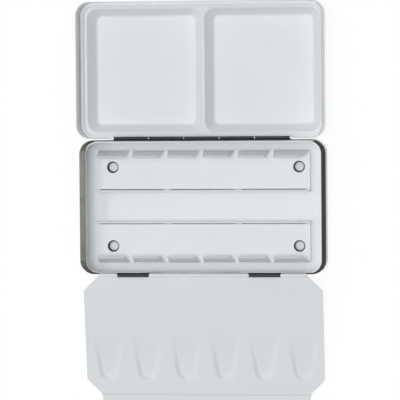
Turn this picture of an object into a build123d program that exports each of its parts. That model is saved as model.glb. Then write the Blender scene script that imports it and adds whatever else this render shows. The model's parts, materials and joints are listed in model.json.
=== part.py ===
from build123d import *
from math import asin, atan, atan2, degrees, hypot, tan
import os

# A folding watercolour paint tin, shown fully open: base in the middle,
# lid folded back behind it (+Y) and mixing leaf folded out in front (-Y).
# Millimetres, +Z up, origin at the centre of the base's underside.

# Pressed shells
sheet = 0.4
body_length = 122.0
body_width = 66.0
body_corner = 7.0
shoulder_height = 10.8
shoulder_fall = 0.4
shoulder_rise = 0.2
neck_end_inset = 2.5
neck_side_inset = 0.75
neck_corner = 6.0
neck_height = 2.5
neck_offset = 0.55
floor_radius = 1.6

# Lid, as deep as the base is up to its shoulder, so that it lies flat when open
lid_depth = 10.8
lid_wall_depth = 4.3
lid_wall_radius = 0.6
lid_end_ledge = 2.85
lid_side_ledge = 2.25
rim_overhang = 0.8
rim_side_growth = 1.7
rim_flare = 1.5
rim_offset = -0.65
lid_gap = 0.6
well_run_x = 3.8
well_run_y = 3.5
well_offset_x = 0.5
well_offset_y = -0.45
well_corner_top = 5.0
well_corner_floor = 3.0
well_floor_radius = 1.5
well_edge_radius = 0.7
ridge_width = 1.4
parting_gap = 0.1

# Hinges
main_wire_radius = 0.35
wire_radius = 0.5
running_gap = 0.05
hinge_stand_off = 0.1
knuckle_gap = 0.4
hinge_relief = 0.1
main_hinge_length = 87.5
main_knuckles = 5
base_strip_height = 3.4
lid_strip_height = 1.7
strip_relief = 0.25
pin_head_radius = 0.6
pin_head_length = 0.4
bracket_length = 15.6
bracket_inset = 18.6
bracket_offset = -1.6

# Mixing leaf, sizes measured outwards from its hinge axis
leaf_sheet = 0.45
leaf_lift = 0.1
leaf_hinge_width = 102.3
leaf_width = 118.6
leaf_end_width = 104.4
leaf_tip_width = 103.6
leaf_shoulder = 8.0
leaf_taper_start = 53.2
leaf_bend = 60.6
leaf_lip = 3.8
leaf_step = 0.9
leaf_step_drop = 0.8
leaf_corner = 1.2
bracket_relief = 0.4
thumb_wells = 6
thumb_pitch = 19.4
thumb_offset = 0.45
thumb_start = 32.3
thumb_end = 54.2
thumb_width = 15.4
thumb_tip_width = 10.6
thumb_depth = 2.0
thumb_shallow = 0.2
thumb_slope = 1.5

# Pan rails
rail_end_gap = 8.0
rail_side_gap = 5.5
rail_offset = -0.45
rail_inner = 7.2
rail_lift = 3.0
hem_gap = 0.2
hem_height = 6.4
slot_width = 0.5
slot_count = 3
slot_bridge = 3.0
slot_end = 2.0
slot_groove = 0.25
clip_count = 6
clip_pitch = 17.5
clip_offset = -1.05
clip_width = 15.6
clip_top_width = 13.2
clip_skew = 1.25
clip_lean = 3.3
clip_rise = 5.6
clip_flare = 0.6
clip_flare_rise = 0.9
dimple_radius = 2.9
dimple_inset = 6.7
dimple_offset = 0.95
dimple_y = 19.5
rivet_head_radius = 2.25
rivet_head_edge = 0.25
rivet_head_height = 0.7
rivet_shank_radius = 1.0
rivet_fit = 0.02

# Notch in the lid's front wall, round the leaf's hinge
notch_side_gap = 0.9
notch_top_gap = 0.3

# Places that follow from the sizes
shoulder_low = shoulder_height - shoulder_fall
shoulder_top = shoulder_height + shoulder_rise
neck_top = shoulder_height + neck_height
neck_length = body_length - 2 * neck_end_inset
neck_width = body_width - 2 * neck_side_inset
lid_ledge = lid_depth - lid_wall_depth
main_barrel = main_wire_radius + running_gap + sheet
main_axis_y = body_width / 2 + hinge_stand_off + main_barrel
main_axis_z = shoulder_height + parting_gap / 2
lid_centre_y = 2 * main_axis_y
rim_length = body_length + 2 * rim_overhang
rim_width = body_width + rim_side_growth
rim_near_y = body_width / 2 + lid_gap
rim_far_y = rim_near_y + rim_width
well_reach_x = body_length / 2 - sheet - lid_end_ledge
well_reach_y = body_width / 2 - sheet - lid_side_ledge
well_middle_y = lid_centre_y + well_offset_y
strap = sheet + hinge_stand_off
leaf_barrel = wire_radius + running_gap + leaf_sheet
leaf_axis_y = -neck_width / 2 - hinge_stand_off - leaf_barrel
leaf_axis_z = neck_top + leaf_lift + leaf_sheet - leaf_barrel
leaf_reach = leaf_bend + leaf_lip
foot_drop = leaf_barrel + leaf_step_drop
leaf_droop = degrees(asin(leaf_axis_z / hypot(leaf_reach, foot_drop)) - atan2(foot_drop, leaf_reach))
rail_length = body_length - 2 * rail_end_gap
rail_outer = body_width / 2 - rail_side_gap
rail_floor = sheet + rail_lift + sheet
hem_width = 2 * sheet + hem_gap
clip_places = [clip_offset + (index - (clip_count - 1) / 2) * clip_pitch for index in range(clip_count)]
dimple_spread = rail_length / 2 - dimple_inset
dimple_ends = {"left": dimple_offset - dimple_spread, "right": dimple_offset + dimple_spread}
bracket_centres = [bracket_offset + side * (leaf_hinge_width / 2 - bracket_inset) for side in (-1, 1)]


def rounded_block(length, width, corner, low, high):
    """An upright block with rounded corners, from one height to another."""
    return Pos(0, 0, low) * extrude(RectangleRounded(length, width, corner), high - low)


def lowest_edges(solid):
    """The edges round a block's flat underside."""
    return solid.faces().sort_by(Axis.Z)[0].edges()


def along_x(profile, start, end):
    """Carry a profile drawn in (y, z) along X."""
    return Pos(start, 0, 0) * extrude(Plane.YZ * profile, end - start)


def rod_x(radius, start, end):
    """A round rod along X on the axis y = z = 0."""
    return along_x(Circle(radius), start, end)


def strip(y_from, y_to, z_from, z_to):
    """A rectangle drawn in (y, z) between two corners."""
    return Pos(y_from, z_from) * Rectangle(y_to - y_from, z_to - z_from, align=(Align.MIN, Align.MIN))


def base_block(inset):
    """The base as a full block: body, sloping shoulder and neck, or the hollow inside it when inset."""
    body_plan = RectangleRounded(body_length - 2 * inset, body_width - 2 * inset, body_corner - inset)
    neck_plan = RectangleRounded(neck_length - 2 * inset, neck_width - 2 * inset, neck_corner - inset)
    body = Pos(0, 0, inset) * extrude(body_plan, shoulder_low - 2 * inset)
    body = fillet(lowest_edges(body), floor_radius + sheet - inset)
    neck_foot = Pos(neck_offset, 0, shoulder_top - inset) * neck_plan
    shoulder = loft([Pos(0, 0, shoulder_low - inset) * body_plan, neck_foot], ruled=True)
    return body + shoulder + extrude(neck_foot, neck_top - shoulder_top + inset)


def base_shell():
    """The base tray: a deep drawn body, a sloping shoulder and a narrower neck."""
    shell = base_block(0) - base_block(sheet)
    for x in dimple_ends.values():
        for y in (-dimple_y, dimple_y):
            shell -= Pos(x, y, sheet / 2) * Cylinder(rivet_shank_radius + rivet_fit, 2 * sheet)
    return shell


def lid_well(side, grow_x, grow_y, lower, floor_radius_here):
    """One sloping-sided mixing well of the open lid, or its outer face when grown and lowered."""
    top_length = well_reach_x - ridge_width / 2
    top_width = 2 * well_reach_y
    centre_x = well_offset_x + side * (ridge_width / 2 + top_length / 2)
    top = RectangleRounded(top_length + 2 * grow_x, top_width + 2 * grow_y, well_corner_top)
    floor = RectangleRounded(
        top_length - 2 * well_run_x + 2 * grow_x, top_width - 2 * well_run_y + 2 * grow_y, well_corner_floor
    )
    well = loft([Pos(0, 0, lid_ledge - lower) * top, Pos(0, 0, sheet - lower) * floor], ruled=True)
    well = fillet(lowest_edges(well), floor_radius_here)
    return Pos(centre_x, well_middle_y, 0) * well


def lid_rim(inset, foot):
    """The rim wall as a full block whose ends flare outwards, or the pocket inside it when inset."""
    width = rim_width - 2 * inset
    top_plan = RectangleRounded(rim_length - 2 * inset, width, body_corner - inset)
    foot_plan = RectangleRounded(rim_length - 2 * inset - 2 * rim_flare, width, body_corner - inset)
    rim = loft([Pos(0, 0, foot) * foot_plan, Pos(0, 0, lid_depth) * top_plan], ruled=True)
    rim = fillet(lowest_edges(rim), lid_wall_radius + sheet - inset)
    return Pos(rim_offset, (rim_near_y + rim_far_y) / 2, 0) * rim


def rim_notch(y, width, depth):
    """The block that is cut out of the rim wall where a hinge passes it."""
    block = Box(width, 4 * sheet, depth, align=(Align.CENTER, Align.CENTER, Align.MAX))
    return Pos(0, y, lid_depth) * block


def lid_shell():
    """The lid, lying open on its outer face: a rim wall, a flat ledge and two pressed wells."""
    well_depth = lid_ledge - sheet
    grow_x = sheet * tan(atan(well_depth / well_run_x) / 2)
    grow_y = sheet * tan(atan(well_depth / well_run_y) / 2)
    shell = lid_rim(0, lid_ledge - sheet) - lid_rim(sheet, lid_ledge)
    for side in (-1, 1):
        shell += lid_well(side, grow_x, grow_y, sheet, well_floor_radius + sheet)
    for side in (-1, 1):
        shell -= lid_well(side, 0, 0, 0, well_floor_radius)
    well_edges = [
        edge
        for edge in shell.edges().filter_by_position(Axis.Z, lid_ledge - 0.01, lid_ledge + 0.01)
        if abs(edge.center().X - well_offset_x) < well_reach_x + parting_gap
        and abs(edge.center().Y - well_middle_y) < well_reach_y + parting_gap
    ]
    shell = fillet(well_edges, well_edge_radius)
    leaf_notch_width = leaf_hinge_width + 2 * notch_side_gap
    leaf_notch_depth = leaf_axis_z + leaf_barrel + notch_top_gap - shoulder_height - parting_gap
    hinge_notch_width = main_hinge_length + 2 * (knuckle_gap + pin_head_length + hinge_relief)
    hinge_notch_depth = lid_depth - main_axis_z + main_barrel + hinge_relief
    shell -= rim_notch(rim_far_y - sheet, leaf_notch_width, leaf_notch_depth)
    return shell - rim_notch(rim_near_y + sheet, hinge_notch_width, hinge_notch_depth)


def main_knuckle_span(index):
    """Start and end of one knuckle of the main hinge."""
    pitch = main_hinge_length / main_knuckles
    start = -main_hinge_length / 2 + index * pitch
    return start + knuckle_gap / 2, start + pitch - knuckle_gap / 2


def main_hinge_leaf(knuckles, height, wall, thickness):
    """One leaf of the main hinge: a strip standing on a wall's +Y face that rolls up into its knuckles."""
    y_from = wall - main_axis_y
    y_to = y_from + thickness
    strip_top = -main_barrel - strip_relief
    low = strip_top - height
    leaf = along_x(strip(y_from, y_to, low, strip_top), -main_hinge_length / 2, main_hinge_length / 2)
    for index in knuckles:
        start, end = main_knuckle_span(index)
        leaf += along_x(strip(y_from, y_to, low, 0) + Circle(main_barrel), start, end)
    leaf -= rod_x(main_wire_radius + running_gap, -main_hinge_length, main_hinge_length)
    return Pos(0, main_axis_y, main_axis_z) * leaf


def main_hinge_pin():
    """The wire of the main hinge, with a flattened head at each end."""
    half = main_hinge_length / 2
    pin = rod_x(main_wire_radius, -half - knuckle_gap, half + knuckle_gap)
    for side in (-1, 1):
        head = rod_x(pin_head_radius, -pin_head_length / 2, pin_head_length / 2)
        pin += Pos(side * (half + knuckle_gap + pin_head_length / 2), 0, 0) * head
    return Pos(0, main_axis_y, main_axis_z) * pin


def leaf_bracket(centre):
    """A knuckle that carries the mixing leaf, on a strap against the neck's front face."""
    foot = shoulder_top - leaf_axis_z
    wall = leaf_barrel + hinge_stand_off
    profile = strip(wall - strap, wall, foot, 0) + Circle(leaf_barrel)
    bracket = along_x(profile, -bracket_length / 2, bracket_length / 2)
    bracket -= rod_x(wire_radius + running_gap, -bracket_length, bracket_length)
    return Pos(centre, leaf_axis_y, leaf_axis_z) * bracket


def leaf_hinge_pin():
    """The wire that runs through both brackets and the leaf's rolled edge."""
    pin = rod_x(wire_radius, -leaf_hinge_width / 2, leaf_hinge_width / 2)
    return Pos(0, leaf_axis_y, leaf_axis_z) * pin


def leaf_outline():
    """Plan of the leaf: chamfered at both ends, with softened corners."""
    half = [
        (leaf_hinge_width / 2, 0),
        (leaf_width / 2, -leaf_shoulder),
        (leaf_width / 2, -leaf_taper_start),
        (leaf_end_width / 2, -leaf_bend),
        (leaf_tip_width / 2, -leaf_reach),
    ]
    mirrored = [(-x, y) for x, y in reversed(half)]
    plan = make_face(Polyline(*half, *mirrored, close=True))
    soft = [vertex for vertex in plan.vertices() if -leaf_bend + 1 < vertex.Y < -1]
    return fillet(soft, leaf_corner)


def thumb_outline(width, tip_width, start, end):
    """A thumb well's plan: wide and straight towards the hinge, narrow and round towards the lip."""
    straight = end - tip_width / 2
    left_foot = (-tip_width / 2, -straight)
    right_foot = (tip_width / 2, -straight)
    sides = Polyline(left_foot, (-width / 2, -start), (width / 2, -start), right_foot)
    tip = ThreePointArc(right_foot, (0, -end), left_foot)
    return make_face(sides + tip)


def thumb_well(grow, lower):
    """A thumb well that deepens towards the lip, or its outer face when grown and lowered."""
    slope = degrees(atan((thumb_depth - thumb_shallow) / (thumb_end - thumb_start)))
    mouth = thumb_outline(
        thumb_width + 2 * grow,
        thumb_tip_width + 2 * grow,
        thumb_start - grow,
        thumb_end + grow,
    )
    floor = thumb_outline(
        thumb_width - 2 * thumb_slope + 2 * grow,
        thumb_tip_width - 2 * thumb_slope + 2 * grow,
        thumb_start + thumb_slope - grow,
        thumb_end - thumb_slope + grow,
    )
    hinge_line = Pos(0, -thumb_start, -thumb_shallow) * Rot(X=slope) * Pos(0, thumb_start, 0)
    return Pos(0, 0, -lower) * loft([mouth, hinge_line * floor], ruled=True)


def mixing_leaf():
    """The fold-out mixing leaf: rolled hinge edge, chamfered plate, stepped lip and six thumb wells."""
    top = leaf_sheet - leaf_barrel
    bottom = -leaf_barrel
    bend_shift = leaf_sheet * tan(atan2(leaf_step_drop, leaf_step) / 2)
    step_foot = leaf_bend + leaf_step
    side_view = [
        (0, bottom),
        (0, top),
        (-leaf_bend, top),
        (-step_foot, top - leaf_step_drop),
        (-leaf_reach, top - leaf_step_drop),
        (-leaf_reach, bottom - leaf_step_drop),
        (bend_shift - step_foot, bottom - leaf_step_drop),
        (bend_shift - leaf_bend, bottom),
    ]
    plate = along_x(make_face(Polyline(*side_view, close=True)), -leaf_width, leaf_width)
    plate &= Pos(0, 0, -leaf_reach / 2) * extrude(leaf_outline(), leaf_reach)
    leaf = plate + rod_x(leaf_barrel, -leaf_hinge_width / 2, leaf_hinge_width / 2)
    places = [thumb_offset + (index - (thumb_wells - 1) / 2) * thumb_pitch for index in range(thumb_wells)]
    thumb_grow = leaf_sheet / 2
    for x in places:
        leaf += Pos(x, 0, top) * thumb_well(thumb_grow, leaf_sheet)
    for x in places:
        leaf -= Pos(x, 0, top) * thumb_well(0, 0)
    leaf -= rod_x(wire_radius + running_gap, -leaf_width, leaf_width)
    for centre in bracket_centres:
        slot_length = bracket_length + 2 * knuckle_gap
        slot_half = leaf_barrel + bracket_relief
        leaf -= Pos(centre, 0, 0) * Box(slot_length, 2 * slot_half, 2 * slot_half)
    return Pos(0, leaf_axis_y, leaf_axis_z) * Rot(X=leaf_droop) * leaf


def spring_clip(wedge):
    """A spring clip: it leans in over the trough, flares at its free edge and has a wedge at its foot."""
    crest_y = rail_outer - clip_lean
    crest_z = rail_floor + clip_rise
    tip_y = crest_y + clip_flare
    tip_z = crest_z + clip_flare_rise
    lean = hypot(clip_lean, clip_rise)
    thick_y = sheet * clip_rise / lean
    thick_z = sheet * clip_lean / lean
    profile = make_face(
        Polyline(
            (rail_outer - sheet, rail_floor - sheet),
            (rail_outer, rail_floor - sheet),
            (rail_outer, rail_floor),
            (crest_y + thick_y, crest_z + thick_z / 2),
            (tip_y + thick_y, tip_z),
            (tip_y, tip_z + thick_z),
            (crest_y, crest_z),
            (rail_outer - thick_y, rail_floor),
            close=True,
        )
    )
    blank = along_x(profile, -clip_width, clip_width)
    foot = rail_floor
    top = tip_z + sheet
    cheek = (clip_width - clip_top_width) / 2
    outline = make_face(
        Polyline(
            (-clip_width / 2, foot - sheet),
            (clip_width / 2 + wedge, foot - sheet),
            (clip_width / 2 + wedge, foot),
            (clip_width / 2 - cheek - clip_skew, top),
            (-clip_width / 2 + cheek - clip_skew, top),
            (-clip_width / 2, foot),
            close=True,
        )
    )
    return blank & (Pos(0, body_width, 0) * extrude(Plane.XZ * outline, 2 * body_width))


def rail_strip():
    """A rail's folded strip: hemmed inner wall, trough floor slotted along a groove and two end legs."""
    start = rail_offset - rail_length / 2
    end = rail_offset + rail_length / 2
    hem_middle = rail_inner + hem_width / 2
    hem_edge = rail_inner + hem_width
    hem_top = sheet + hem_height - hem_width / 2
    outer_leg = strip(rail_inner, rail_inner + sheet, sheet, hem_top)
    inner_leg = strip(hem_edge - sheet, hem_edge, rail_floor - sheet, hem_top)
    floor = strip(hem_edge - sheet, rail_outer, rail_floor - sheet, rail_floor)
    fold = Pos(hem_middle, hem_top) * (Circle(hem_width / 2) - Circle(hem_gap / 2))
    fold -= strip(0, rail_outer, 0, hem_top)
    rail = along_x(outer_leg + fold + inner_leg + floor, start, end)
    end_leg = strip(hem_edge, rail_outer, sheet, rail_floor)
    rail += along_x(end_leg, start, start + sheet)
    rail += along_x(end_leg, end - sheet, end)
    slot_length = (rail_length - 2 * slot_end + slot_bridge) / slot_count - slot_bridge
    groove = strip(hem_edge, hem_edge + slot_width, rail_floor - slot_groove, rail_floor)
    rail -= along_x(groove, start + slot_end, end - slot_end)
    slot = strip(hem_edge, hem_edge + slot_width, rail_floor - sheet, rail_floor)
    for index in range(slot_count):
        slot_start = start + slot_end + index * (slot_length + slot_bridge)
        rail -= along_x(slot, slot_start, slot_start + slot_length)
    return rail


def rear_pan_rail():
    """The rear pan rail: its strip with six spring clips, standing on two dimples."""
    rail = rail_strip()
    last_wedge = rail_offset + rail_length / 2 - clip_places[-1] - clip_width / 2
    for x in clip_places[:-1]:
        rail += Pos(x, 0, 0) * spring_clip(0)
    rail += Pos(clip_places[-1], 0, 0) * spring_clip(last_wedge)
    cup_height = rail_floor - sheet
    bottom_up = (Align.CENTER, Align.CENTER, Align.MIN)
    for x in dimple_ends.values():
        place = Pos(x, dimple_y, sheet)
        rail += place * Cylinder(dimple_radius + sheet, cup_height, align=bottom_up)
        rail -= place * Pos(0, 0, sheet) * Cylinder(dimple_radius, cup_height, align=bottom_up)
        rail -= place * Cylinder(rivet_shank_radius + rivet_fit, cup_height, align=bottom_up)
    return rail


def rail_rivet(x, y):
    """A flat-headed rivet that holds a rail's dimple down to the floor."""
    head_low = 2 * sheet
    bottom_up = (Align.CENTER, Align.CENTER, Align.MIN)
    head = Cylinder(rivet_head_radius, rivet_head_height, align=bottom_up)
    head = chamfer(head.faces().sort_by(Axis.Z)[-1].edges(), rivet_head_edge)
    rivet = Pos(0, 0, head_low) * head + Cylinder(rivet_shank_radius, head_low, align=bottom_up)
    return Pos(x, y, 0) * rivet


def write_part(name, solid):
    solid.label = name
    export_step(solid, os.path.join("parts", name + ".step"))
    print(name, round(solid.volume, 3), len(solid.solids()))


os.makedirs("parts", exist_ok=True)
print("leaf droop", round(leaf_droop, 3))
print("main axis", main_axis_y, main_axis_z, "leaf axis", leaf_axis_y, leaf_axis_z)
write_part("base_shell", base_shell())
rear_rail = rear_pan_rail()
write_part("rear_pan_rail", rear_rail)
write_part("front_pan_rail", mirror(rear_rail, about=Plane.XZ))
for row, row_side in (("front", -1), ("rear", 1)):
    for end, x in dimple_ends.items():
        write_part(f"{row}_rail_rivet_{end}", rail_rivet(x, row_side * dimple_y))
write_part("base_hinge_leaf", main_hinge_leaf((0, 2, 4), base_strip_height, body_width / 2, strap))
write_part("lid_hinge_leaf", main_hinge_leaf((1, 3), lid_strip_height, rim_near_y + sheet, sheet))
write_part("main_hinge_pin", main_hinge_pin())
write_part("lid_shell", lid_shell())
for end, centre in zip(("left", "right"), bracket_centres):
    write_part(f"leaf_bracket_{end}", leaf_bracket(centre))
write_part("leaf_hinge_pin", leaf_hinge_pin())
write_part("mixing_leaf", mixing_leaf())
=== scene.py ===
import bmesh
import bpy
import json
import numpy as np
from math import radians
from mathutils import Matrix, Vector


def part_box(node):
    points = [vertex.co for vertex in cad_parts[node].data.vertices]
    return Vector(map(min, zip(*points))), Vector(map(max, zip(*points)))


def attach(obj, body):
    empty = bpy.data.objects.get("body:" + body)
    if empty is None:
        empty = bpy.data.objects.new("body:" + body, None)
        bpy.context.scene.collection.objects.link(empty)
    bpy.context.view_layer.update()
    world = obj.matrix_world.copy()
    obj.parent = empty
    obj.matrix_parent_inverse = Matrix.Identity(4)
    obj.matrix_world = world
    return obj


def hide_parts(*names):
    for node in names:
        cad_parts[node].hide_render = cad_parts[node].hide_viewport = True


# A watercolour paint tin lying open on a white table, seen from above.
# Lengths are in metres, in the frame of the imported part.

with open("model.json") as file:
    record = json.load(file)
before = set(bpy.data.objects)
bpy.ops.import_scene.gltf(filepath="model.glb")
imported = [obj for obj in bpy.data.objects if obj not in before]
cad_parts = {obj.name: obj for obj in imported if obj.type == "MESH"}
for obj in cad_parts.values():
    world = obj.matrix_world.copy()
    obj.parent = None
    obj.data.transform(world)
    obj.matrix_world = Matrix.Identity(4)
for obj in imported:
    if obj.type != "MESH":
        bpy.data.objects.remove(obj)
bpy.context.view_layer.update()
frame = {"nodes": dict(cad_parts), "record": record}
MM = 0.001

# Photograph's view: nearly straight down, from a little to the right
PHOTO_SIZE = 400
CAMERA_PLACE = (0.2180, 0.0696, 1.6)
CAMERA_TURN = (-0.0423, 0.1366, -0.0082)
CAMERA_FOCUS_PIXELS = 3271.0
CAMERA_REACH = 20.0
SENSOR_WIDTH = 36.0

# Light: a warm dome that fades towards the right, a cool key lamp nearly overhead, a weak lamp from
# the rear, and five narrow lamps on the left that the base's shoulder mirrors along its end and
# round its corners
DOME_LEFT = 0.37
DOME_RIGHT = 0.25
DOME_COLOUR = (0.96, 0.955, 0.925, 1)
BACKGROUND_STRENGTH = 1.0
BACKGROUND_COLOUR = (1, 1, 1, 1)
KEY_STRENGTH = 0.94
KEY_WIDTH = radians(30)
KEY_TOWARD = (-0.04, 0.0, 1.0)
KEY_COLOUR = (0.89, 1.0, 1.11)
REAR_STRENGTH = 0.10
REAR_WIDTH = radians(14)
REAR_TOWARD = (-0.135, 0.39, 0.91)
EDGE_WIDTH = radians(10)
EDGE_LAMPS = (
    (0.15, (-0.56, 0.0, 0.83)),
    (0.06, (-0.57, 0.20, 0.80)),
    (0.06, (-0.57, -0.20, 0.80)),
    (0.06, (-0.55, 0.41, 0.73)),
    (0.06, (-0.55, -0.41, 0.73)),
)
EDGE_COLOUR = (1.0, 0.98, 0.95)

# Table: it glows in the background, and keeps a share of its shading for the object's shadow
TABLE_HALF_SIZE = 3.0
TABLE_HEIGHT = -0.05 * MM
TABLE_COLOUR = (0.93, 0.93, 0.93, 1)
TABLE_ROUGHNESS = 0.9
TABLE_GLOW = 1.05
TABLE_GLOW_SHARE = 0.88

# Enamel and wire: linear colours, roughness from and to, and shine
WHITE_ENAMEL = (0.950, 0.952, 0.945, 1)
WHITE_SHADE = (0.930, 0.932, 0.925, 1)
WHITE_GLOSS = (0.30, 0.42)
WHITE_SHINE = 0.25
# Painted shade: this dark colour goes into the rails' punched hollows round the rivets and stands
# for the shade that falls in them
PAINTED_HOLLOW_SHADE = (0.13, 0.135, 0.13, 1)
HOLLOW_GLOSS = (0.40, 0.55)
HOLLOW_SHINE = 0.22
BLACK_ENAMEL = (0.024, 0.026, 0.0235, 1)
BLACK_WORN = (0.034, 0.036, 0.033, 1)
BLACK_GLOSS = (0.10, 0.18)
BLACK_SHINE = 0.5
HINGE_BLACK = (0.009, 0.010, 0.0095, 1)
HINGE_WORN = (0.015, 0.016, 0.015, 1)
HINGE_GLOSS = (0.08, 0.14)
HINGE_SHINE = 0.28
RIM_ROUGHNESS = 0.32
WIRE_STEEL = (0.80, 0.80, 0.78, 1)
WIRE_GLOSS = (0.25, 0.45)

# Patterns: clouds in the colour, rubs in the gloss, orange peel on the skin, lines along the wire
CLOUD_SCALE = 28
CLOUD_DETAIL = 3
CLOUD_RANGE = (0.42, 0.78)
RUB_SCALE = 130
RUB_DETAIL = 5
RUB_ROUGHNESS = 0.62
PEEL_SCALE = 900
PEEL_DETAIL = 2
PEEL_STRENGTH = 0.08
LINE_STRETCH = (40, 2500, 2500)
LINE_STRENGTH = 0.2
PATTERN_RANGE = (0.3, 0.7)
BUMP_HEIGHT = 0.02 * MM

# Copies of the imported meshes: how close points are joined, and the sharpest edge that is smoothed
JOIN_DISTANCE = 1e-7
SMOOTH_ANGLE = radians(32)

# Border between the white and the black enamel on the base's rim: over the edge at the right,
# short of it at the left, and at the rear lapped over most of the shoulder, where the white is
# partly a painted reflection that stands for the rear lamp mirrored in the black shoulder
BORDER_MIDDLE = (1.05 * MM, 0.30 * MM, 0.0)
BORDER_HALF_SIZE = (58.45 * MM, 32.3 * MM)
BORDER_CORNER = 5.6 * MM
BORDER_BLUR = 0.05 * MM
BORDER_WANDER = 0.07 * MM
WANDER_SCALE = 60
WANDER_DETAIL = 2

# Faces that take each finish: the height of the base's middle as a share of its own, depths from
# its top and its rear wall, slopes as the upward part of a normal, and the rails' punched hollows,
# which take a painted shade
BASE_HOLLOW_MIDDLE = 0.6
RIM_EDGE = 0.05 * MM
REAR_SHOULDER = 0.72 * MM
SHOULDER_SLOPE = 0.3
UPRIGHT_SLOPE = 0.2
HOLLOW_RADIUS = 2.95 * MM
HOLLOW_DEPTH = 0.75 * MM

# Mixing leaf beyond the cut, measured outwards from its hinge axis
LEAF_SHEET = 0.45 * MM
LEAF_TOP = -0.55 * MM
LEAF_CUT = 28.0 * MM
LEAF_STATIONS = (28.0 * MM, 53.2 * MM, 60.6 * MM, 64.4 * MM)
LEAF_HALF_WIDTHS = (59.3 * MM, 59.3 * MM, 52.2 * MM, 51.8 * MM)
LEAF_CORNER = 0.5 * MM
CORNER_SAMPLES = 5
LEAF_STEP_START = 60.45 * MM
LEAF_STEP_RUN = 1.2 * MM
LEAF_STEP_DROP = 0.8 * MM
WELL_COUNT = 6
WELL_PITCH = 19.4 * MM
WELL_OFFSET = 0.45 * MM
WELL_START = 30.0 * MM
WELL_WIDE = 32.3 * MM
WELL_ROUND = 48.9 * MM
WELL_END = 54.2 * MM
WELL_WIDE_HALF = 7.9 * MM
WELL_TIP_HALF = 5.4 * MM
WELL_WALL = 2.4 * MM
WELL_DEPTH = 1.9 * MM
LEAF_COLUMNS = 330
LEAF_ROWS = (70, 28, 14)

# Bead pressed along the open lid's ledge, a little inside its wall: its width and height on each
# side, and the shares of its width at which it rises, falls and ends
BEAD_MIDDLE = (-0.65 * MM, 67.45 * MM, 6.5 * MM)
BEAD_HALF_SIZE = (59.9 * MM, 33.45 * MM)
BEAD_CORNER = 6.6 * MM
BEAD_LEFT = (2.4 * MM, 1.2 * MM)
BEAD_RIGHT = (0.9 * MM, 0.35 * MM)
BEAD_FAR = (3.2 * MM, 0.7 * MM)
BEAD_NEAR = (2.2 * MM, 0.4 * MM)
BEAD_RISE = (0.32, 0.38)
BEAD_FALL = (0.38, 1.0)
BEAD_END = 0.97
BEAD_ROOT = 0.15 * MM
CORNER_STEPS = 25
SECTION_STEPS = 25


def node_tree(name):
    """A new material with its shader and a texture coordinate node."""
    material = bpy.data.materials.new(name)
    material.use_nodes = True
    nodes = material.node_tree.nodes
    shader = nodes["Principled BSDF"]
    place = nodes.new("ShaderNodeTexCoord")
    return material, material.node_tree, shader, place


def noise(tree, place, scale, detail, roughness=0.5):
    """A noise pattern on the object's own coordinates."""
    pattern = tree.nodes.new("ShaderNodeTexNoise")
    pattern.inputs["Scale"].default_value = scale
    pattern.inputs["Detail"].default_value = detail
    pattern.inputs["Roughness"].default_value = roughness
    tree.links.new(place.outputs["Object"], pattern.inputs["Vector"])
    return pattern.outputs["Fac"]


def remap(tree, value, low, high, to_low, to_high):
    """Stretch a value from one range to another."""
    node = tree.nodes.new("ShaderNodeMapRange")
    node.inputs["From Min"].default_value = low
    node.inputs["From Max"].default_value = high
    node.inputs["To Min"].default_value = to_low
    node.inputs["To Max"].default_value = to_high
    tree.links.new(value, node.inputs["Value"])
    return node.outputs["Result"]


def mix_colour(tree, amount, first, second):
    """Blend two colours by a pattern."""
    node = tree.nodes.new("ShaderNodeMix")
    node.data_type = "RGBA"
    node.inputs["A"].default_value = first
    node.inputs["B"].default_value = second
    tree.links.new(amount, node.inputs["Factor"])
    return node.outputs["Result"]


def bump(tree, shader, height, strength):
    """Raise the surface by a pattern."""
    node = tree.nodes.new("ShaderNodeBump")
    node.inputs["Strength"].default_value = strength
    node.inputs["Distance"].default_value = BUMP_HEIGHT
    tree.links.new(height, node.inputs["Height"])
    tree.links.new(node.outputs["Normal"], shader.inputs["Normal"])


def orange_peel(tree, shader, place):
    """Give enamel its fine uneven skin."""
    bump(tree, shader, noise(tree, place, PEEL_SCALE, PEEL_DETAIL), PEEL_STRENGTH)


def enamel(name, colour, second_colour, gloss, shine):
    """Stoved enamel: faint clouding, a fine orange-peel skin and slightly uneven gloss."""
    material, tree, shader, place = node_tree(name)
    shade = remap(tree, noise(tree, place, CLOUD_SCALE, CLOUD_DETAIL), *CLOUD_RANGE, 0, 1)
    tree.links.new(mix_colour(tree, shade, colour, second_colour), shader.inputs["Base Color"])
    rubs = noise(tree, place, RUB_SCALE, RUB_DETAIL, RUB_ROUGHNESS)
    tree.links.new(remap(tree, rubs, *PATTERN_RANGE, *gloss), shader.inputs["Roughness"])
    shader.inputs["Specular IOR Level"].default_value = shine
    orange_peel(tree, shader, place)
    return material


def vector_step(tree, operation, first, second=None):
    """One step of vector arithmetic."""
    node = tree.nodes.new("ShaderNodeVectorMath")
    node.operation = operation
    tree.links.new(first, node.inputs[0])
    if second is not None:
        node.inputs[1].default_value = second
    return node.outputs["Value" if operation == "LENGTH" else "Vector"]


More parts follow.
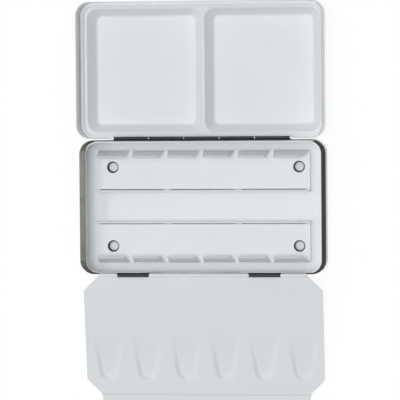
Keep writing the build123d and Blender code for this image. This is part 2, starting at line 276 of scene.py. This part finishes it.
def rim_enamel_and_painted_sheen(name):
    """The rim's edge and rear shoulder: white inside a rounded rectangle and black beyond it; the
    white on the rear shoulder is partly a painted reflection of the rear lamp.
    """
    material, tree, shader, place = node_tree(name)
    # The last number is more than any height, so that height leaves the distance alone
    reach = (BORDER_HALF_SIZE[0] - BORDER_CORNER, BORDER_HALF_SIZE[1] - BORDER_CORNER, 1.0)
    point = vector_step(tree, "SUBTRACT", place.outputs["Object"], BORDER_MIDDLE)
    point = vector_step(tree, "SUBTRACT", vector_step(tree, "ABSOLUTE", point), reach)
    distance = vector_step(tree, "LENGTH", vector_step(tree, "MAXIMUM", point, (0, 0, 0)))
    wobble = noise(tree, place, WANDER_SCALE, WANDER_DETAIL)
    total = tree.nodes.new("ShaderNodeMath")
    tree.links.new(distance, total.inputs[0])
    wander = remap(tree, wobble, *PATTERN_RANGE, -BORDER_WANDER, BORDER_WANDER)
    tree.links.new(wander, total.inputs[1])
    inner_side, outer_side = BORDER_CORNER - BORDER_BLUR, BORDER_CORNER + BORDER_BLUR
    beyond = remap(tree, total.outputs["Value"], inner_side, outer_side, 0, 1)
    tree.links.new(mix_colour(tree, beyond, WHITE_ENAMEL, BLACK_WORN), shader.inputs["Base Color"])
    shader.inputs["Roughness"].default_value = RIM_ROUGHNESS
    orange_peel(tree, shader, place)
    return material


def drawn_wire(name):
    """Steel wire with fine lines along its length."""
    material, tree, shader, place = node_tree(name)
    stretch = tree.nodes.new("ShaderNodeMapping")
    stretch.inputs["Scale"].default_value = LINE_STRETCH
    tree.links.new(place.outputs["Object"], stretch.inputs["Vector"])
    pattern = tree.nodes.new("ShaderNodeTexNoise")
    pattern.inputs["Scale"].default_value = 1
    tree.links.new(stretch.outputs["Vector"], pattern.inputs["Vector"])
    lines = pattern.outputs["Fac"]
    shader.inputs["Base Color"].default_value = WIRE_STEEL
    shader.inputs["Metallic"].default_value = 1
    tree.links.new(remap(tree, lines, *PATTERN_RANGE, *WIRE_GLOSS), shader.inputs["Roughness"])
    bump(tree, shader, lines, LINE_STRENGTH)
    return material


def joined_copy(node):
    """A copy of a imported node's mesh, and its shape with the triangles joined."""
    mesh = frame["nodes"][node].data.copy()
    mesh.materials.clear()
    shape = bmesh.new()
    shape.from_mesh(mesh)
    bmesh.ops.remove_doubles(shape, verts=shape.verts, dist=JOIN_DISTANCE)
    return mesh, shape


def join_surface(shape, name, points, faces, place=Matrix()):
    """Join a surface, given by its points and faces, onto a shape."""
    mesh = bpy.data.meshes.new(name)
    mesh.from_pydata(points, [], faces.tolist())
    mesh.transform(place)
    shape.from_mesh(mesh)
    bpy.data.meshes.remove(mesh)


def finished_piece(node, mesh, shape):
    """Shade a shape's round faces smooth, keep its sharp edges, and put it into the scene."""
    for face in shape.faces:
        face.smooth = True
    for edge in shape.edges:
        edge.smooth = edge.calc_face_angle(0) < SMOOTH_ANGLE
    shape.to_mesh(mesh)
    shape.free()
    piece = bpy.data.objects.new(node + "_finish", mesh)
    bpy.context.scene.collection.objects.link(piece)
    return piece


def smooth_copy(node):
    """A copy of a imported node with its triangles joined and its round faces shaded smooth."""
    return finished_piece(node, *joined_copy(node))


def soft_step(value):
    """A smooth rise from 0 to 1: 3 t^2 - 2 t^3, with t kept between 0 and 1."""
    t = np.clip(value, 0, 1)
    return t * t * (3 - 2 * t)


def leaf_half_width(reach):
    """Half of the leaf's width at a distance from its hinge, with the corners rounded off.

    It is the mean of the straight outline's half widths at several places just before and after.
    """
    shifts = LEAF_CORNER * np.linspace(-1, 1, CORNER_SAMPLES)
    widths = [np.interp(reach + shift, LEAF_STATIONS, LEAF_HALF_WIDTHS) for shift in shifts]
    return np.mean(widths, axis=0)


def leaf_height(x, reach):
    """Height of the leaf's upper face: z = top - depth(reach) rise(inward) - drop step(reach).

    Inward is the distance inside a thumb well's outline: half(reach) - |x - middle| along its
    straight sides, and tip - hypot(x - middle, reach - round) round its tip.
    """
    depth = WELL_DEPTH * np.clip((reach - WELL_START) / (WELL_END - WELL_START), 0, 1)
    half = np.interp(reach, (WELL_WIDE, WELL_ROUND), (WELL_WIDE_HALF, WELL_TIP_HALF))
    middles = WELL_OFFSET + (np.arange(WELL_COUNT) - (WELL_COUNT - 1) / 2) * WELL_PITCH
    step = soft_step((reach - LEAF_STEP_START) / LEAF_STEP_RUN)
    height = np.full(x.shape, LEAF_TOP) - LEAF_STEP_DROP * step
    for middle in middles:
        side = half - np.abs(x - middle)
        tip = WELL_TIP_HALF - np.hypot(x - middle, reach - WELL_ROUND)
        inward = np.where(reach < WELL_ROUND, side, tip)
        height = height - depth * soft_step(inward / WELL_WALL)
    return height


def grid_faces(index):
    """The four-sided faces between the points of a grid, from their numbers."""
    corners = [index[:-1, :-1], index[1:, :-1], index[1:, 1:], index[:-1, 1:]]
    return np.stack(corners, axis=-1).reshape(-1, 4)


def leaf_sheet():
    """The leaf's sheet beyond the cut: x = (2u - 1) half_width(v), y = -v, z = height(x, v).

    Its lower face lies one sheet's thickness below, and four strips close its edges.
    """
    spans = zip(LEAF_STATIONS[:-1], LEAF_STATIONS[1:], LEAF_ROWS)
    rows = [np.linspace(start, end, count, endpoint=False) for start, end, count in spans]
    rows = np.append(np.concatenate(rows), LEAF_STATIONS[-1])
    u, v = np.meshgrid(np.linspace(0, 1, LEAF_COLUMNS + 1), rows)
    x = (2 * u - 1) * leaf_half_width(v)
    top = np.stack([x, -v, leaf_height(x, v)], axis=-1)
    low = top - np.array([0, 0, LEAF_SHEET])
    index = np.arange(u.size).reshape(u.shape)
    under = index + u.size
    border = np.concatenate([index[0, :-1], index[:-1, -1], index[-1, :0:-1], index[:0:-1, 0]])
    following = np.roll(border, -1)
    edge_faces = np.stack([border, following, following + u.size, border + u.size], axis=-1)
    points = np.concatenate([top.reshape(-1, 3), low.reshape(-1, 3)])
    return points, np.concatenate([grid_faces(index), grid_faces(under)[:, ::-1], edge_faces])


def lid_bead():
    """The lid's bead: P(a, s) = foot(a) - n(a) width(a) s, up by height(a) rise(s) (1 - fall(s)).

    The foot of the wall is a rectangle whose corners are rounded, n(a) = (cos a, sin a) points out
    of it, and two more points of each section lie inside the lid's sheet.
    """
    quarter = np.linspace(0, np.pi / 2, CORNER_STEPS)
    angle = np.concatenate([quarter + turn * np.pi / 2 for turn in range(4)])
    signs = np.repeat([(1, 1), (-1, 1), (-1, -1), (1, -1)], CORNER_STEPS, axis=0)
    normal = np.stack([np.cos(angle), np.sin(angle)], axis=-1)
    foot = signs * (np.array(BEAD_HALF_SIZE) - BEAD_CORNER) + BEAD_CORNER * normal
    share = normal ** 2
    end = np.where(signs[:, :1] > 0, BEAD_RIGHT, BEAD_LEFT)
    side = np.where(signs[:, 1:] > 0, BEAD_FAR, BEAD_NEAR)
    width, height = (share[:, :1] * end + share[:, 1:] * side).T
    s = np.linspace(BEAD_RISE[0], BEAD_END, SECTION_STEPS)
    rise = soft_step((s - BEAD_RISE[0]) / (BEAD_RISE[1] - BEAD_RISE[0]))
    fall = soft_step((s - BEAD_FALL[0]) / (BEAD_FALL[1] - BEAD_FALL[0]))
    inward = np.outer(width, np.concatenate([s, [s[-1], s[0]]]))
    root = np.full((len(width), 2), -BEAD_ROOT)
    up = np.column_stack([np.outer(height, rise * (1 - fall)), root])
    plan = foot[:, None, :] - normal[:, None, :] * inward[:, :, None]
    points = np.concatenate([plan, up[:, :, None]], axis=-1) + np.array(BEAD_MIDDLE)
    index = np.arange(up.size).reshape(up.shape)
    after = np.roll(index, -1, axis=0)
    corners = [after, np.roll(after, -1, axis=1), np.roll(index, -1, axis=1), index]
    return points.reshape(-1, 3), np.stack(corners, axis=-1).reshape(-1, 4)


def beaded_lid(node):
    """The lid's copy with its bead joined on."""
    mesh, shape = joined_copy(node)
    join_surface(shape, "lid_bead", *lid_bead())
    return finished_piece(node, mesh, shape)


def pressed_leaf(node):
    """The mixing leaf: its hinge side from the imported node, the rest one softly pressed sheet."""
    joints = frame["record"]["behaviour"]["joints"]
    joint = next(joint for joint in joints if joint["child"] == "leaf")
    droop = radians(joint["range_deg"][1] - 180)
    hinge = Matrix.Translation(joint["pos_m"]) @ Matrix.Rotation(droop, 4, "X")
    mesh, shape = joined_copy(node)
    cut = bmesh.ops.bisect_plane(
        shape,
        geom=shape.verts[:] + shape.edges[:] + shape.faces[:],
        plane_co=hinge @ Vector((0, -LEAF_CUT, 0)),
        plane_no=hinge.to_3x3() @ Vector((0, -1, 0)),
        clear_outer=True,
    )
    cut_edges = [item for item in cut["geom_cut"] if isinstance(item, bmesh.types.BMEdge)]
    bmesh.ops.holes_fill(shape, edges=cut_edges)
    join_surface(shape, "leaf_sheet", *leaf_sheet(), hinge)
    return finished_piece(node, mesh, shape)


def face_data(mesh):
    """Centres and normals of a mesh's faces, as arrays."""
    centres = np.zeros(3 * len(mesh.polygons))
    normals = np.zeros(3 * len(mesh.polygons))
    mesh.polygons.foreach_get("center", centres)
    mesh.polygons.foreach_get("normal", normals)
    return centres.reshape(-1, 3), normals.reshape(-1, 3)


def dress(piece, node, body, materials, finish):
    """Give a piece its finishes and its place; finish numbers the material of each face."""
    for material in materials:
        piece.data.materials.append(material)
    if finish is not None:
        piece.data.polygons.foreach_set("material_index", finish.astype(np.int32))
    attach(piece, body)
    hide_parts(node)


def finish_of_base(mesh):
    """0 for the base's inner faces, 1 for its outer ones, and 2 where the border runs.

    The outer faces look away from the base's hollow. The border runs along the rim's edge and on
    the rear shoulder, where its white is partly a painted reflection of the rear lamp.
    """
    centres, normals = face_data(mesh)
    low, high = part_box("base_shell")
    middle = np.array([0, 0, BASE_HOLLOW_MIDDLE * high.z])
    outward = np.einsum("ij,ij->i", centres - middle, normals) > 0
    rim_edge = centres[:, 2] > high.z - RIM_EDGE
    rear_shoulder = centres[:, 1] > high.y - REAR_SHOULDER
    rear_shoulder &= normals[:, 2] > SHOULDER_SLOPE
    return np.where(rim_edge | rear_shoulder, 2, outward)


def hollows_of_rail(mesh, rivets):
    """1 for a pan rail's faces in its punched hollows round the rivets, for painted shade, 0
    elsewhere.
    """
    centres, normals = face_data(mesh)
    inside = np.zeros(len(centres), dtype=bool)
    for rivet in rivets:
        low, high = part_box(rivet)
        middle = np.array([(low.x + high.x) / 2, (low.y + high.y) / 2])
        reach = np.linalg.norm(centres[:, :2] - middle, axis=1)
        inside |= (reach < HOLLOW_RADIUS) & (centres[:, 2] > high.z - HOLLOW_DEPTH)
    return inside


def outside_of_lid(mesh):
    """1 for faces of the open lid that look down, or out where its wall is upright, and else 0."""
    centres, normals = face_data(mesh)
    low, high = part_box("lid_shell")
    middle = np.array([0, (low.y + high.y) / 2])
    outward = np.einsum("ij,ij->i", centres[:, :2] - middle, normals[:, :2]) > 0
    upright = np.abs(normals[:, 2]) < UPRIGHT_SLOPE
    return np.where(upright, outward, normals[:, 2] < 0)


def background_rays(tree):
    """1 for rays that show the background: straight to the camera, mirrored or through glass."""
    path = tree.nodes.new("ShaderNodeLightPath")
    total = path.outputs["Is Camera Ray"]
    for kind in ("Is Glossy Ray", "Is Transmission Ray"):
        larger = tree.nodes.new("ShaderNodeMath")
        larger.operation = "MAXIMUM"
        tree.links.new(total, larger.inputs[0])
        tree.links.new(path.outputs[kind], larger.inputs[1])
        total = larger.outputs["Value"]
    return total


def table_top():
    """A wide white table that keeps a faint shadow."""
    mesh = bpy.data.meshes.new("table_top")
    signs = ((-1, -1), (1, -1), (1, 1), (-1, 1))
    corners = [(x * TABLE_HALF_SIZE, y * TABLE_HALF_SIZE, TABLE_HEIGHT) for x, y in signs]
    mesh.from_pydata(corners, [], [(0, 1, 2, 3)])
    table = bpy.data.objects.new("table_top", mesh)
    bpy.context.scene.collection.objects.link(table)
    material, tree, shader, place = node_tree("white_table")
    shader.inputs["Base Color"].default_value = TABLE_COLOUR
    shader.inputs["Roughness"].default_value = TABLE_ROUGHNESS
    glow = tree.nodes.new("ShaderNodeEmission")
    glow.inputs["Strength"].default_value = TABLE_GLOW
    share = tree.nodes.new("ShaderNodeMath")
    share.operation = "MULTIPLY"
    share.inputs[1].default_value = TABLE_GLOW_SHARE
    tree.links.new(background_rays(tree), share.inputs[0])
    blend = tree.nodes.new("ShaderNodeMixShader")
    tree.links.new(share.outputs["Value"], blend.inputs["Fac"])
    tree.links.new(shader.outputs["BSDF"], blend.inputs[1])
    tree.links.new(glow.outputs["Emission"], blend.inputs[2])
    tree.links.new(blend.outputs["Shader"], tree.nodes["Material Output"].inputs["Surface"])
    mesh.materials.append(material)


def lamp(name, strength, width, toward, colour):
    """A distant lamp in one direction, as wide as the angle that it fills."""
    data = bpy.data.lights.new(name, "SUN")
    data.energy = strength
    data.color = colour
    data.angle = width
    sun = bpy.data.objects.new(name, data)
    sun.rotation_mode = "QUATERNION"
    sun.rotation_quaternion = Vector(toward).to_track_quat("Z", "Y")
    bpy.context.scene.collection.objects.link(sun)


def light():
    """A warm dome, fainter on the right, with a key lamp, a rear lamp and the edge lamps."""
    world = bpy.data.worlds.new("dome")
    world.use_nodes = True
    tree = world.node_tree
    background = tree.nodes["Background"]
    place = tree.nodes.new("ShaderNodeTexCoord")
    axes = tree.nodes.new("ShaderNodeSeparateXYZ")
    tree.links.new(place.outputs["Generated"], axes.inputs["Vector"])
    graded = remap(tree, axes.outputs["X"], -1, 1, DOME_LEFT, DOME_RIGHT)
    seen = background_rays(tree)
    strength = tree.nodes.new("ShaderNodeMix")
    strength.inputs["B"].default_value = BACKGROUND_STRENGTH
    tree.links.new(seen, strength.inputs["Factor"])
    tree.links.new(graded, strength.inputs["A"])
    tree.links.new(strength.outputs["Result"], background.inputs["Strength"])
    tint = mix_colour(tree, seen, DOME_COLOUR, BACKGROUND_COLOUR)
    tree.links.new(tint, background.inputs["Color"])
    bpy.context.scene.world = world
    lamp("key_lamp", KEY_STRENGTH, KEY_WIDTH, KEY_TOWARD, KEY_COLOUR)
    lamp("rear_lamp", REAR_STRENGTH, REAR_WIDTH, REAR_TOWARD, EDGE_COLOUR)
    for number, (strength, toward) in enumerate(EDGE_LAMPS):
        lamp(f"edge_lamp_{number}", strength, EDGE_WIDTH, toward, EDGE_COLOUR)


def camera():
    """The photograph's viewpoint."""
    data = bpy.data.cameras.new("camera")
    data.sensor_width = SENSOR_WIDTH
    data.lens = CAMERA_FOCUS_PIXELS / PHOTO_SIZE * SENSOR_WIDTH
    data.clip_end = CAMERA_REACH
    eye = bpy.data.objects.new("camera", data)
    eye.location = CAMERA_PLACE
    eye.rotation_euler = CAMERA_TURN
    bpy.context.scene.collection.objects.link(eye)
    bpy.context.scene.camera = eye
    bpy.context.scene.view_settings.view_transform = "Standard"


camera()
light()
table_top()

white = enamel("white_enamel", WHITE_ENAMEL, WHITE_SHADE, WHITE_GLOSS, WHITE_SHINE)
# Painted shade: the hollows round the rivets are coloured dark in place of the shade inside them
hollow = enamel("painted_shade_in_hollows", PAINTED_HOLLOW_SHADE, PAINTED_HOLLOW_SHADE, HOLLOW_GLOSS, HOLLOW_SHINE)
# Partly painted reflection: the white that this lays over the base's rear shoulder stands for the
# rear lamp's sheen on the black enamel
rim = rim_enamel_and_painted_sheen("enamel_and_painted_sheen_on_rim")
black = enamel("black_enamel", BLACK_ENAMEL, BLACK_WORN, BLACK_GLOSS, BLACK_SHINE)
hinge_black = enamel("hinge_enamel", HINGE_BLACK, HINGE_WORN, HINGE_GLOSS, HINGE_SHINE)
wire = drawn_wire("hinge_wire")
finishes = {"white_enamel": white, "black_hinge": hinge_black, "hinge_wire": wire}
shapes = {"mixing_leaf": pressed_leaf, "lid_shell": beaded_lid}
bodies = frame["record"]["behaviour"]["bodies"]
body_of = {node: body for body, nodes in bodies.items() for node in nodes}

for part in frame["record"]["subparts"]:
    node, slot = part["node"], part["material_slot"]
    piece = shapes.get(node, smooth_copy)(node)
    if node == "base_shell":
        materials, finish = [white, black, rim], finish_of_base(piece.data)
    elif node == "lid_shell":
        materials, finish = [white, black], outside_of_lid(piece.data)
    elif node.endswith("pan_rail"):
        row = node.split("_")[0]
        rivets = [f"{row}_rail_rivet_{end}" for end in ("left", "right")]
        materials, finish = [white, hollow], hollows_of_rail(piece.data, rivets)
    else:
        materials, finish = [finishes[slot]], None
    dress(piece, node, body_of[node], materials, finish)
